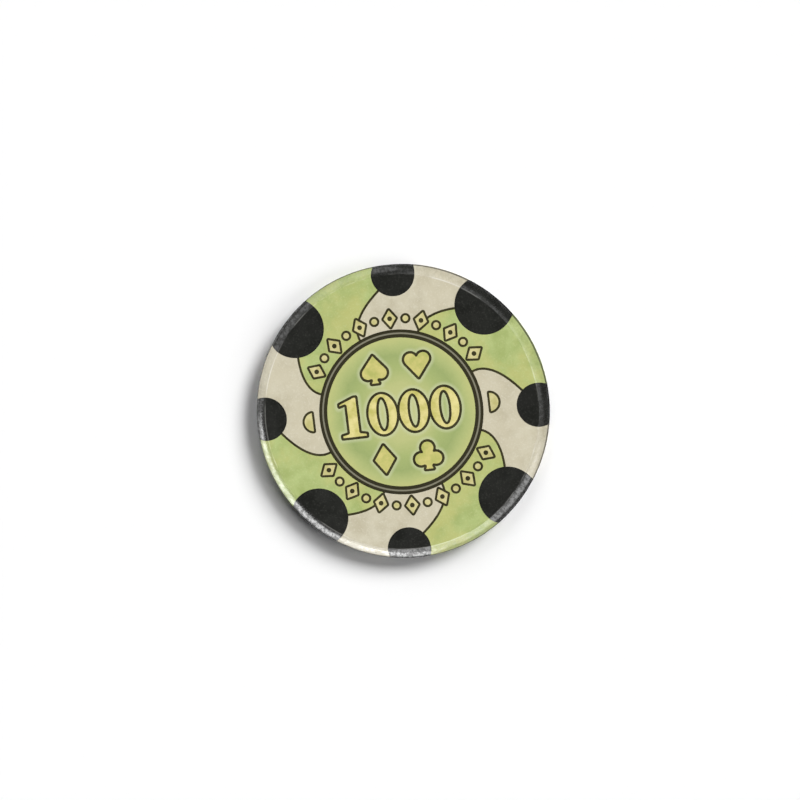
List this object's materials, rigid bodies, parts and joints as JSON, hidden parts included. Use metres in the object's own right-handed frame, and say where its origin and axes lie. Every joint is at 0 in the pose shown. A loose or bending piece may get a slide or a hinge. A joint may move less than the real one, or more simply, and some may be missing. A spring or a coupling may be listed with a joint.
{
  "type": "poker chip",
  "caption": "Round composite poker chip: ivory body with whirled green blades, black rim spots, a ringed label let into each face and a steel slug inside.",
  "frame": {"origin": "centre of the rear face, on the chip's axis, where the chip lies on a table", "axes": "+Z along the chip's axis, out of the front face; +X along the reading direction of the number on the front label"},
  "size_m": [0.039, 0.039, 0.0033],
  "materials": {
    "ivory_composite": "moulded mineral-filled plastic, warm ivory, satin face with a polished shoulder",
    "green_composite": "moulded mineral-filled plastic, pale yellow-green, satin face with a polished shoulder",
    "black_composite": "moulded mineral-filled plastic, soft black, satin face with a polished shoulder",
    "label_print": "printed label under a thin satin varnish, green shaded from the middle to the edge",
    "dark_print": "brownish black inlay and ink, satin",
    "slug_steel": "plain blanked mild steel"
  },
  "bodies": {
    "root": {"front_half": "ivory_composite", "rear_half": "ivory_composite", "green_insert_1": "green_composite", "green_insert_2": "green_composite", "green_insert_3": "green_composite", "green_insert_4": "green_composite", "large_black_spot_1": "black_composite", "large_black_spot_2": "black_composite", "large_black_spot_3": "black_composite", "large_black_spot_4": "black_composite", "small_black_spot_1": "black_composite", "small_black_spot_2": "black_composite", "small_black_spot_3": "black_composite", "small_black_spot_4": "black_composite", "front_label": "label_print", "rear_label": "label_print", "front_label_ring": "dark_print", "rear_label_ring": "dark_print", "steel_slug": "slug_steel"}
  },
  "joints": []
}
